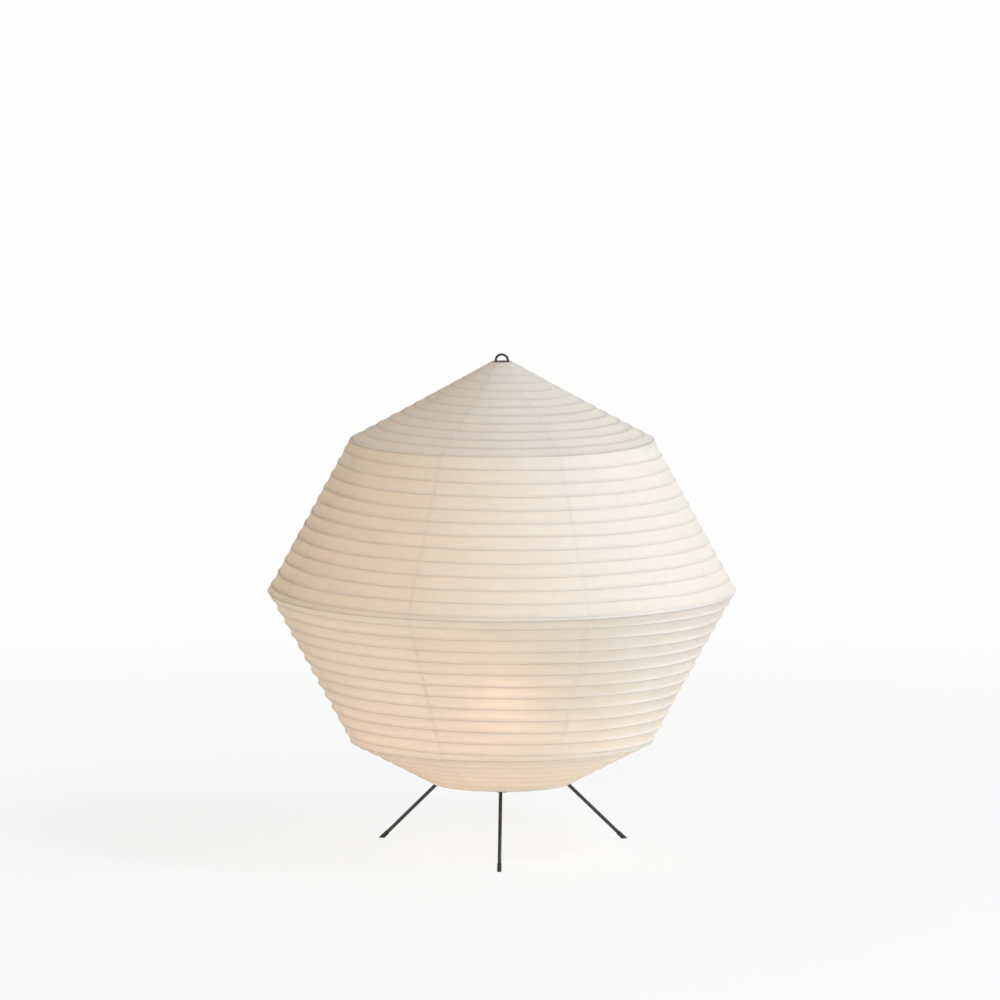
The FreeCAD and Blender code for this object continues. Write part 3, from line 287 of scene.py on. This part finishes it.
class Graph:
    """Node tree of a new material or world, with short ways to add and join nodes."""

    def __init__(self, owner, output="OutputMaterial"):
        owner.use_nodes = True
        self.owner = owner
        self.nodes = owner.node_tree.nodes
        self.links = owner.node_tree.links
        self.nodes.clear()
        self.output = self.add(output)

    def add(self, kind, **inputs):
        """New node of a kind, with a value or a link for each input that is named."""
        node = self.nodes.new("ShaderNode" + kind)
        for name, setting in inputs.items():
            self.set(node, name.replace("_", " "), setting)
        return node

    def set(self, node, name, setting):
        if isinstance(setting, bpy.types.NodeSocket):
            self.links.new(setting, node.inputs[name])
        else:
            node.inputs[name].default_value = setting

    def show(self, shader):
        self.links.new(shader, self.output.inputs["Surface"])
        return self.owner

    def coordinates(self):
        return self.add("TexCoord").outputs["Object"]

    def map_place(self, name):
        node = self.add("UVMap")
        node.uv_map = name
        return node.outputs["UV"]

    def map_values(self, name):
        return self.add("SeparateXYZ", Vector=self.map_place(name)).outputs

    def stretched(self, vector, scale):
        return self.add("Mapping", Vector=vector, Scale=scale).outputs["Vector"]

    def noise(self, vector, scale, detail=3.0, roughness=0.55, distortion=0.0):
        return self.add(
            "TexNoise", Vector=vector, Scale=scale, Detail=detail, Roughness=roughness,
            Distortion=distortion).outputs["Fac"]

    def tones(self, factor, dark, light, start=0.3, end=0.7):
        """Colour that goes from dark to light as a factor goes from start to end."""
        node = self.add("ValToRGB", Fac=factor)
        stops = zip(node.color_ramp.elements, (start, end), (dark, light))
        for element, place, colour in stops:
            element.position = place
            element.color = (*colour, 1.0)
        return node.outputs["Color"]

    def spread(self, factor, low, high, start=0.3, end=0.7):
        """Number that goes from low to high as a factor goes from start to end."""
        return self.add(
            "MapRange", Value=factor, From_Min=start, From_Max=end, To_Min=low,
            To_Max=high).outputs["Result"]

    def math(self, operation, first, second=0.0):
        node = self.add("Math")
        node.operation = operation
        self.set(node, 0, first)
        self.set(node, 1, second)
        return node.outputs[0]

    def times(self, first, second):
        return self.math("MULTIPLY", first, second)

    def mix(self, factor, first, second):
        node = self.add("Mix")
        node.data_type = "RGBA"
        self.set(node, MIX_FACTOR, factor)
        self.set(node, MIX_FIRST, first)
        self.set(node, MIX_SECOND, second)
        return node.outputs[MIX_RESULT]

    def mix_shaders(self, factor, first, second):
        node = self.add("MixShader")
        for socket, setting in enumerate((factor, first, second)):
            self.set(node, socket, setting)
        return node.outputs[0]

    def threads(self, vector, scale, width, distortion):
        """Thin winding lines, as of fibres: 1 on a line and 0 away from it."""
        field = self.noise(vector, scale, detail=2.0, roughness=0.45, distortion=distortion)
        away = self.math("ABSOLUTE", self.math("SUBTRACT", field, 0.5))
        return self.spread(away, 1.0, 0.0, start=0.0, end=width)

    def bump(self, height, strength, distance):
        return self.add("Bump", Height=height, Strength=strength, Distance=distance).outputs["Normal"]

    def principled(self, base, roughness, **inputs):
        return self.add("BsdfPrincipled", Base_Color=base, Roughness=roughness, **inputs).outputs["BSDF"]

    def seen(self):
        """1 for what the camera sees, straight or in a shine, and 0 for what only lights the scene."""
        rays = self.add("LightPath").outputs
        return self.math("MAXIMUM", rays["Is Camera Ray"], rays["Is Glossy Ray"])


def new_graph(name):
    return Graph(bpy.data.materials.new(name))


def rice_paper():
    """Thin white paper with long fibres in it, which lets light through, with the painted shadow of the
    ribs pasted behind it and a painted highlight above each rib.
    """
    graph = new_graph("rice_paper")
    place = graph.map_place("paper")
    cloud = graph.noise(place, scale=48.0, detail=5.0, roughness=0.6)
    patch = graph.noise(place, scale=9.0, detail=2.0, roughness=0.5)
    long_fibres = graph.threads(place, scale=75.0, width=0.010, distortion=1.2)
    drawn_out = graph.stretched(place, (1.0, 0.45, 1.0))
    short_fibres = graph.threads(drawn_out, scale=210.0, width=0.022, distortion=0.9)
    grain = graph.noise(place, scale=1500.0, roughness=0.6)
    fibres = graph.math("MAXIMUM", long_fibres, graph.times(short_fibres, SHORT_FIBRES))
    # the ribs map holds the painted shadow along each rib and hoop, and the painted highlight above each
    # rib
    ribs = graph.map_values("ribs")
    uneven = graph.spread(graph.noise(place, scale=26.0, detail=2.0), low=0.55, high=1.0)
    rib_shadow = graph.times(ribs["X"], uneven)
    crest_highlight = graph.times(ribs["Y"], uneven)
    lapped = graph.times(graph.map_values("laps")["X"], LAPS_IN_GLOW)
    thin = graph.math("ADD", graph.times(cloud, CLOUD_SHARE), graph.times(patch, PATCH_SHARE))
    base = graph.tones(thin, *FACE_TONES, *TONE_RANGE)
    base = graph.mix(graph.times(fibres, FIBRES_ON_FACE), base, FIBRE_FACE)
    # painted rib and hoop shadow darkens the face colour
    base = graph.mix(graph.times(rib_shadow, RIB_SHADOW_ON_FACE), base, RIB_SHADOW_FACE)
    glow = graph.tones(thin, *GLOW_TONES, *TONE_RANGE)
    glow = graph.mix(graph.times(fibres, FIBRES_IN_GLOW), glow, FIBRE_GLOW)
    # painted rib and hoop shadow, and the thicker paper of the lap, darken the light through the paper
    rib_shadow_and_lap = graph.math("MAXIMUM", graph.times(rib_shadow, RIB_SHADOW_IN_GLOW), lapped)
    glow = graph.mix(rib_shadow_and_lap, glow, RIB_SHADOW_GLOW)
    height = graph.math("ADD", graph.times(fibres, FIBRE_RELIEF), graph.times(grain, GRAIN_RELIEF))
    normal = graph.bump(height, strength=0.25, distance=0.0003)
    face = graph.principled(
        base, graph.spread(grain, low=0.76, high=0.90), Normal=normal,
        Specular_IOR_Level=0.2, Transmission_Weight=0.19, IOR=1.1)
    through = graph.add("BsdfTranslucent", Color=glow, Normal=normal).outputs["BSDF"]
    # the painted highlight lets less light through, so the paper above each rib reflects more and looks
    # brighter in outside light
    share = graph.math("SUBTRACT", SPREADS_THROUGH, graph.times(crest_highlight, LESS_THROUGH_HIGHLIGHT))
    return graph.show(graph.mix_shaders(share, face, through))


def bamboo():
    """Split bamboo with fine grain along it and darker joints."""
    graph = new_graph("bamboo")
    place = graph.map_place("strip")
    grain = graph.noise(graph.stretched(place, (40.0, 900.0, 1.0)), scale=1.0, detail=4.0, roughness=0.6)
    joint = graph.threads(graph.stretched(place, (4.0, 30.0, 1.0)), scale=1.0, width=0.02, distortion=0.2)
    base = graph.tones(grain, (0.62, 0.49, 0.31), (0.80, 0.68, 0.48))
    base = graph.mix(graph.times(joint, 0.5), base, (0.40, 0.28, 0.15, 1.0))
    normal = graph.bump(grain, strength=0.3, distance=0.0002)
    return graph.show(graph.principled(base, graph.spread(grain, low=0.5, high=0.7), Normal=normal))


def black_wire():
    """Satin black paint on steel wire, a little uneven."""
    graph = new_graph("black_wire")
    place = graph.coordinates()
    coat = graph.noise(place, scale=1400.0)
    drift = graph.noise(place, scale=60.0, detail=2.0)
    base = graph.tones(drift, (0.011, 0.011, 0.012), (0.021, 0.021, 0.022), start=0.35, end=0.65)
    normal = graph.bump(coat, strength=0.12, distance=0.0002)
    return graph.show(graph.principled(base, graph.spread(coat, low=0.34, high=0.5), Normal=normal))


def soft_tip():
    """Dull black rubber with a trace of dust."""
    graph = new_graph("soft_tip")
    place = graph.coordinates()
    grain = graph.noise(place, scale=2200.0)
    dust = graph.noise(place, scale=350.0, detail=4.0, roughness=0.65)
    base = graph.tones(dust, (0.014, 0.014, 0.014), (0.035, 0.034, 0.032), start=0.4, end=0.75)
    normal = graph.bump(grain, strength=0.2, distance=0.0002)
    return graph.show(graph.principled(base, graph.spread(grain, low=0.68, high=0.85), Normal=normal))


def plain_metal(name, dark, light, rough_low, rough_high):
    """Metal with fine rubbed lines and a slow drift of tone."""
    graph = new_graph(name)
    place = graph.coordinates()
    lines = graph.noise(graph.stretched(place, (300.0, 300.0, 2500.0)), scale=1.0)
    base = graph.tones(graph.noise(place, scale=120.0, roughness=0.6), dark, light)
    roughness = graph.spread(lines, rough_low, rough_high)
    normal = graph.bump(lines, strength=0.1, distance=0.0001)
    return graph.show(graph.principled(base, roughness, Normal=normal, Metallic=1.0))


def moulded(name, dark, light, rough_low, rough_high, grain_scale):
    """Moulded or fired material: fine skin texture over a slow drift of tone."""
    graph = new_graph(name)
    place = graph.coordinates()
    grain = graph.noise(place, grain_scale)
    base = graph.tones(graph.noise(place, scale=90.0, roughness=0.6), dark, light)
    roughness = graph.spread(grain, rough_low, rough_high)
    normal = graph.bump(grain, strength=0.15, distance=0.0002)
    return graph.show(graph.principled(base, roughness, Normal=normal))


def frosted_glass():
    """Lit frosted glass: the whole globe glows, a little unevenly."""
    graph = new_graph("frosted_glass")
    place = graph.coordinates()
    frost = graph.noise(place, scale=1800.0)
    cloud = graph.noise(place, scale=45.0, roughness=0.6)
    base = graph.tones(cloud, (0.93, 0.90, 0.85), (0.98, 0.96, 0.92))
    light = graph.tones(cloud, (1.0, 0.62, 0.28), (1.0, 0.67, 0.33))
    normal = graph.bump(frost, strength=0.2, distance=0.0001)
    return graph.show(graph.principled(
        base, graph.spread(frost, low=0.45, high=0.6), Normal=normal,
        Emission_Color=light, Emission_Strength=BULB_GLOW))


def clear_glass():
    """Clear glass with a faint film on it."""
    graph = new_graph("clear_glass")
    film = graph.noise(graph.coordinates(), scale=160.0)
    base = graph.tones(film, (0.93, 0.95, 0.94), (0.98, 0.99, 0.98))
    roughness = graph.spread(film, low=0.02, high=0.07)
    return graph.show(graph.principled(base, roughness, Transmission_Weight=1.0, IOR=1.5))


def filament():
    """Coated light strip: soft beads of light along it."""
    graph = new_graph("filament")
    beads = graph.noise(graph.stretched(graph.coordinates(), (60.0, 60.0, 500.0)), scale=1.0, detail=2.0)
    base = graph.tones(beads, (0.90, 0.70, 0.28), (0.96, 0.82, 0.42))
    light = graph.tones(beads, (1.0, 0.62, 0.24), (1.0, 0.74, 0.40))
    return graph.show(graph.principled(
        base, graph.spread(beads, low=0.5, high=0.7), Emission_Color=light,
        Emission_Strength=FILAMENT_GLOW))


materials = {
    "rice_paper": rice_paper(),
    "bamboo": bamboo(),
    "black_wire": black_wire(),
    "soft_tip": soft_tip(),
    "frosted_glass": frosted_glass(),
    "clear_glass": clear_glass(),
    "filament": filament(),
}
for name, look in METALS.items():
    materials[name] = plain_metal(name, *look)
for name, look in MOULDED.items():
    materials[name] = moulded(name, *look)

for row in frame["record"]["subparts"]:
    shape = frame["nodes"][row["node"]].data
    shape.materials.clear()
    shape.materials.append(materials[row["material_slot"]])


# Shade

def wander(x, y, z):
    return noise.noise(Vector((x, y, z)))


class Band:
    """One conical band of the paper, measured down its slant."""

    def __init__(self, top, bottom, sag, run_before, trim_top, trim_bottom):
        self.top = top
        self.sag = sag
        self.length = math.hypot(bottom[0] - top[0], bottom[1] - top[1])
        self.down = ((bottom[0] - top[0]) / self.length, (bottom[1] - top[1]) / self.length)
        self.out = (-self.down[1], self.down[0])
        self.run_before = run_before
        self.first_rib = trim_top
        self.last_rib = self.length - trim_bottom

    def place(self, slant, outward):
        """Radius and height at a distance down the slant, moved outward from the paper's outside."""
        radius = self.top[0] + self.down[0] * slant + self.out[0] * outward
        height = self.top[1] + self.down[1] * slant + self.out[1] * outward
        return radius, height

    def rib_slant(self, turn, azimuth):
        """Distance down the slant of a turn of the rib, or of the line on past its end, at an azimuth."""
        run = RIB_PITCH * (turn + (azimuth - FRONT) / 360.0)
        slant = run - self.run_before
        from_end = min(slant - self.first_rib, self.last_rib - slant)
        free = min(max(from_end / RIB_PITCH, 0.0), 1.0)
        around = math.radians(azimuth)
        stray = wander(STRAY_ROUND * math.cos(around), STRAY_ROUND * math.sin(around), run / STRAY_DOWN)
        return slant + RIB_STRAY * free * stray

    def ridge(self, turn, azimuth):
        """Distance down the slant of the paper's ridge over one turn of the rib."""
        return min(max(self.rib_slant(turn, azimuth), RIDGE_END), self.length - RIDGE_END)


def make_bands():
    """The four bands, with the run of the paper counted from the shoulder."""
    run = -math.dist(CROWN, SHOULDER)
    bands = []
    for index, (top, bottom) in enumerate(zip(CORNERS, CORNERS[1:])):
        bands.append(Band(top, bottom, SAGS[index], run, RIB_TRIMS[index], RIB_TRIMS[index + 1]))
        run += math.dist(top, bottom)
    return bands


bands = make_bands()


def turns_between(band, low_azimuth, high_azimuth):
    """Turns of the rib whose ridge lies in a band somewhere between two azimuths."""
    turns = []
    for turn in RIB_TURNS:
        low = band.rib_slant(turn, low_azimuth)
        high = band.rib_slant(turn, high_azimuth)
        if high > RIDGE_END and low < band.length - RIDGE_END:
            turns.append(turn)
    return turns


def new_mesh(name, points, faces, maps):
    """Closed smooth mesh with creases at its sharp edges and named maps, such as that of the flat sheet."""
    mesh = bpy.data.meshes.new(name)
    mesh.from_pydata(points, [], faces)
    mesh.polygons.foreach_set("use_smooth", [True] * len(mesh.polygons))
    corners = np.zeros(len(mesh.loops), np.int32)
    mesh.loops.foreach_get("vertex_index", corners)
    for map_name, uv in maps.items():
        layer = mesh.uv_layers.new(name=map_name)
        layer.data.foreach_set("uv", np.asarray(uv, np.float32)[corners].ravel())
    mesh.set_sharp_from_angle(angle=math.radians(CREASE_ANGLE))
    mesh.update()
    piece = bpy.data.objects.new(name, mesh)
    bpy.context.scene.collection.objects.link(piece)
    return piece


# One place on the paper: azimuth, run down the paper, line (painted shadow and highlight of a rib or hoop),
# lift over the next gore, and the points on its outside and inside as (radius, height)
PaperPoint = namedtuple("PaperPoint", "azimuth run line lift outside inside")


def cell_ends(band, turns, cell, azimuth):
    """Slants of the upper and lower end of a cell, the paper from turn to turn, at an azimuth."""
    upper = 0.0
    lower = band.length
    if cell > 0:
        upper = band.ridge(turns[cell - 1], azimuth)
    if cell < len(turns):
        lower = band.ridge(turns[cell], azimuth)
    return upper, lower


def sunk(band, upper, lower, share, azimuth):
    """How far the paper sinks in at a share of the way between two turns of the rib."""
    size = (lower - upper) / RIB_PITCH
    around = math.radians(azimuth)
    middle = (band.run_before + (upper + lower) / 2) / CHANGE_DOWN
    change = wander(CHANGE_ROUND * math.cos(around), CHANGE_ROUND * math.sin(around), middle)
    tension = 1 + SAG_CHANGE * change
    radius, height = band.place(upper + (lower - upper) * share, 0.0)
    crease = wander(
        radius * math.cos(around) / CRINKLE_ACROSS, radius * math.sin(around) / CRINKLE_ACROSS,
        height / CRINKLE_UP)
    if share < SAG_DEEPEST:
        from_deepest = 1 - share / SAG_DEEPEST
    else:
        from_deepest = (share - SAG_DEEPEST) / (1 - SAG_DEEPEST)
    arch = (1 - from_deepest ** SAG_POWER) * min(1.0, radius / FULL_SAG_RADIUS)
    return arch * (band.sag * min(size, WIDEST_SAG) ** 2 * tension + CRINKLE * crease * min(size, 1.0))


def lap_places(radius):
    """Distances past the seam of the lap's columns, their lifts, and the paper's thickness there."""
    narrow = min(1.0, radius / FULL_LAP_RADIUS)
    return [
        (-LAP_RAMP * narrow, 0.0, PAPER),
        (-LAP_STEP * narrow, LAP_LIFT, PAPER),
        ((LAP - FEATHER_WIDTH) * narrow, LAP_LIFT, PAPER),
        (LAP * narrow, LAP_LIFT - FEATHER, PAPER - FEATHER)]


def rib_shade_and_highlight(band, turns, cell, upper, lower, slant):
    """How strongly the painted shadow of the rib or hoop at either end of a cell shows, and the painted
    highlight above it.
    """
    dark = 0.0
    # the first value is the painted shadow of the rib or hoop, the second the painted highlight above a rib
    crest_highlight = 0.0
    if cell == 0:
        dark = max(dark, HOOP_SHADOW * (1 - (slant - upper) / SHADOW_BELOW))
    elif band.first_rib < upper < band.last_rib:
        dark = max(dark, 1 - (slant - upper) / SHADOW_BELOW)
    if cell == len(turns) or band.first_rib < lower < band.last_rib:
        dark = max(dark, 1 - (lower - slant) / SHADOW_ABOVE)
        crest_highlight = max(crest_highlight, 1 - (lower - slant) / HIGHLIGHT_ABOVE)
    return dark, crest_highlight


def gore_point(band, turns, cell, share, azimuth, lift, thickness):
    """Place on the paper at a share of the way down a cell."""
    upper, lower = cell_ends(band, turns, cell, azimuth)
    slant = upper + (lower - upper) * share
    depth = sunk(band, upper, lower, share, azimuth)
    # painted shadow and highlight of the nearest rib or hoop
    line = rib_shade_and_highlight(band, turns, cell, upper, lower, slant)
    outside = band.place(slant, lift - depth)
    inside = band.place(slant, lift - depth - thickness)
    return PaperPoint(azimuth, band.run_before + slant, line, lift, outside, inside)


def band_rows(band, left, seam, plain):
    """Rows of places on a gore in one band, from its upper fold down."""
    turns = turns_between(band, left, seam)
    steps = [(cell, share) for cell in range(len(turns) + 1) for share in CELL_STEPS]
    if band is bands[-1]:
        steps.append((len(turns), 1.0))
    rows = []
    for cell, share in steps:
        row = [gore_point(band, turns, cell, share, azimuth, 0.0, PAPER) for azimuth in plain]
        seam_radius = row[-1].outside[0]
        for past, lift, thickness in lap_places(seam_radius):
            azimuth = seam + math.degrees(past / seam_radius)
            row.append(gore_point(band, turns, cell, share, azimuth, lift, thickness))
        rows.append(row)
    return rows


def edge_rows(seam, plain):
    """Rows of places on a gore's lower edge, where it turns round the bottom hoop."""
    base = bands[-1]
    tangent = math.degrees(math.atan2(base.out[1], base.out[0]))
    edge_radius = CORNERS[-1][0]
    columns = [(azimuth, 0.0, PAPER) for azimuth in plain]
    for past, lift, thickness in lap_places(edge_radius):
        columns.append((seam + math.degrees(past / edge_radius), lift, thickness))
    rows = []
    for turn in HOOP_WRAP:
        angle = math.radians(tangent - turn)
        run = base.run_before + base.length + math.radians(turn) * HOOP_PAPER_RADIUS
        row = []
        for azimuth, lift, thickness in columns:
            reach = HOOP_PAPER_RADIUS + lift
            outside = circle_point(HOOP_CENTRE, reach, angle)
            inside = circle_point(HOOP_CENTRE, reach - thickness, angle)
            # the paper round the bottom hoop takes the hoop's painted shadow
            row.append(PaperPoint(azimuth, run, (HOOP_SHADOW, 0.0), lift, outside, inside))
        rows.append(row)
    return rows


def around_axis(radius, height, azimuth):
    """Point in metres at a radius, height and azimuth."""
    angle = math.radians(azimuth)
    return (radius * math.cos(angle) * MM, radius * math.sin(angle) * MM, height * MM)


def shell_faces(rows, columns):
    """Quads of a closed sheet whose outside points come first, row by row, and then its inside ones."""
    inside = rows * columns
    faces = []
    for row in range(rows - 1):
        for column in range(columns - 1):
            first = row * columns + column
            below = first + columns
            faces.append((first, below, below + 1, first + 1))
            faces.append((inside + first, inside + first + 1, inside + below + 1, inside + below))
    for column in range(columns - 1):
        last = (rows - 1) * columns + column
        faces.append((column, column + 1, inside + column + 1, inside + column))
        faces.append((last, inside + last, inside + last + 1, last + 1))
    for row in range(rows - 1):
        left = row * columns
        right = left + columns - 1
        faces.append((left, inside + left, inside + left + columns, left + columns))
        faces.append((right, right + columns, inside + right + columns, inside + right))
    return faces


def make_gore(index, place):
    """One gore: thin paper, sunk in between the turns of the rib, lapped over the next gore."""
    middle = FRONT + GORE_ANGLE * index
    left = middle - GORE_ANGLE / 2
    seam = middle + GORE_ANGLE / 2
    plain = [left + GORE_ANGLE * step / COLUMNS for step in range(COLUMNS)]
    rows = []
    for band in bands:
        rows += band_rows(band, left, seam, plain)
    rows += edge_rows(seam, plain)
    outside = []
    inside = []
    flat = []
    lines = []
    laps = []
    for row in rows:
        for point in row:
            across = math.radians(point.azimuth - middle) * point.outside[0]
            outside.append(around_axis(*point.outside, point.azimuth))
            inside.append(around_axis(*point.inside, point.azimuth))
            flat.append((across * MM, point.run * MM + SHEET_STEP * index))
            lines.append(point.line)
            laps.append((1.0 if point.lift > 0 else 0.0, 0.0))
    faces = shell_faces(len(rows), len(rows[0]))
    # the ribs map carries the painted rib and hoop shadow and highlight
    maps = {"paper": flat + flat, "ribs": lines + lines, "laps": laps + laps}
    return new_mesh("paper_" + place, outside + inside, faces, maps)


def make_rib(band, name):
    """Split bamboo wound in a spiral, a little uneven in thickness."""
    first = (band.first_rib + band.run_before) / RIB_PITCH
    last = (band.last_rib + band.run_before) / RIB_PITCH
    steps = math.ceil((last - first) * RIB_STEPS)
    points = []
    flat = []
    for step in range(steps + 1):
        turns = first + (last - first) * step / steps
        angle = math.radians(FRONT) + math.tau * turns
        radius, height = band.place(band.rib_slant(0, FRONT + 360.0 * turns), -RIB_INSET)
        outward = Vector((band.out[0] * math.cos(angle), band.out[0] * math.sin(angle), band.out[1]))
        along = Vector((
            band.down[0] * RIB_PITCH * math.cos(angle) - math.tau * radius * math.sin(angle),
            band.down[0] * RIB_PITCH * math.sin(angle) + math.tau * radius * math.cos(angle),
            band.down[1] * RIB_PITCH)).normalized()
        side = along.cross(outward).normalized()
        centre = Vector((radius * math.cos(angle), radius * math.sin(angle), height))
        uneven = wander(turns * UNEVEN_ROUND, UNEVEN_ROW, band.run_before)
        thick = RIB_RADIUS * (RIB_SHARE + RIB_UNEVEN * uneven)
        for corner in range(RIB_SIDES):
            turn = math.tau * corner / RIB_SIDES
            point = centre + outward * (thick * math.cos(turn)) + side * (thick * math.sin(turn))
            points.append(tuple(point * MM))
            flat.append((math.tau * turns * radius * MM, turn * thick * MM))
    faces = []
    for step in range(steps):
        for corner in range(RIB_SIDES):
            here = step * RIB_SIDES + corner
            beside = step * RIB_SIDES + (corner + 1) % RIB_SIDES
            faces.append((here, beside, beside + RIB_SIDES, here + RIB_SIDES))
    faces.append(tuple(reversed(range(RIB_SIDES))))
    faces.append(tuple(range(steps * RIB_SIDES, (steps + 1) * RIB_SIDES)))
    return new_mesh(name, points, faces, {"strip": flat})


def dress_shade(piece, node, slot):
    """Hang a piece of the shade on its body, in place of its solid."""
    piece.data.materials.append(materials[slot])
    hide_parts(node)
    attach(piece, "shade")
    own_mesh(piece)


for index, place in enumerate(GORES):
    gore = make_gore(index, place)
    dress_shade(gore, "gore_" + place, "rice_paper")

for band, name in zip(bands, BANDS):
    dress_shade(make_rib(band, "strip_" + name), "rib_" + name, "bamboo")


# Floor, light and camera

def floor_material():
    """White floor: nearly bare white to the eye, with a faint share of real light for the shadow."""
    graph = new_graph("stage_floor")
    away = graph.add("VectorMath")
    away.operation = "LENGTH"
    graph.set(away, 0, graph.coordinates())
    fade = graph.spread(away.outputs["Value"], WHITE_NEAR, WHITE_FAR, start=FADE_START, end=FADE_END)
    floor = graph.principled(FLOOR_COLOUR, FLOOR_ROUGHNESS, Specular_IOR_Level=0.0)
    white = graph.add("Emission", Color=BARE_WHITE, Strength=1.0).outputs["Emission"]
    return graph.show(graph.mix_shaders(graph.times(graph.seen(), fade), floor, white))


def make_stage():
    mesh = bpy.data.meshes.new("stage_floor")
    corners = [(-1, -1), (1, -1), (1, 1), (-1, 1)]
    mesh.from_pydata(
        [(x * FLOOR_HALF, y * FLOOR_HALF, FLOOR_LEVEL) for x, y in corners], [], [(0, 1, 2, 3)])
    mesh.materials.append(floor_material())
    floor = bpy.data.objects.new("stage_floor", mesh)
    bpy.context.scene.collection.objects.link(floor)


def make_world():
    """Soft light from the walls all round, less from above, and plain white behind the object."""
    graph = Graph(bpy.data.worlds.new("studio"), "OutputWorld")
    direction = graph.add("SeparateXYZ", Vector=graph.add("TexCoord").outputs["Generated"])
    light = graph.spread(direction.outputs["Z"], WALL_LIGHT, CEILING_LIGHT, start=0.0, end=CEILING_FROM)
    soft = graph.add("Background", Color=WORLD_COLOUR, Strength=light).outputs["Background"]
    white = graph.add("Background", Color=BARE_WHITE, Strength=1.0).outputs["Background"]
    bpy.context.scene.world = graph.show(graph.mix_shaders(graph.seen(), soft, white))


def make_lamp(name, place, aim, size, power, colour):
    light = bpy.data.lights.new(name, "AREA")
    light.shape = "DISK"
    light.size = size
    light.energy = power
    light.color = colour
    lamp = bpy.data.objects.new(name, light)
    lamp.location = place
    lamp.rotation_euler = (Vector(aim) - Vector(place)).to_track_quat("-Z", "Y").to_euler()
    bpy.context.scene.collection.objects.link(lamp)


def make_camera():
    lens = bpy.data.cameras.new("camera")
    lens.sensor_width = SENSOR_WIDTH
    lens.lens = LENS
    lens.clip_end = CAMERA_DEPTH
    camera = bpy.data.objects.new("camera", lens)
    tilt = math.radians(CAMERA_ELEVATION)
    turn = math.radians(CAMERA_TURN)
    back = Vector((math.cos(tilt) * math.sin(turn), -math.cos(tilt) * math.cos(turn), math.sin(tilt)))
    camera.location = Vector(CAMERA_AIM) + back * CAMERA_DISTANCE
    camera.rotation_euler = (-back).to_track_quat("-Z", "Y").to_euler()
    bpy.context.scene.collection.objects.link(camera)
    bpy.context.scene.camera = camera


make_stage()
make_world()
for name, settings in LAMPS.items():
    make_lamp(name, *settings)
make_camera()
bpy.context.scene.view_settings.view_transform = "Standard"
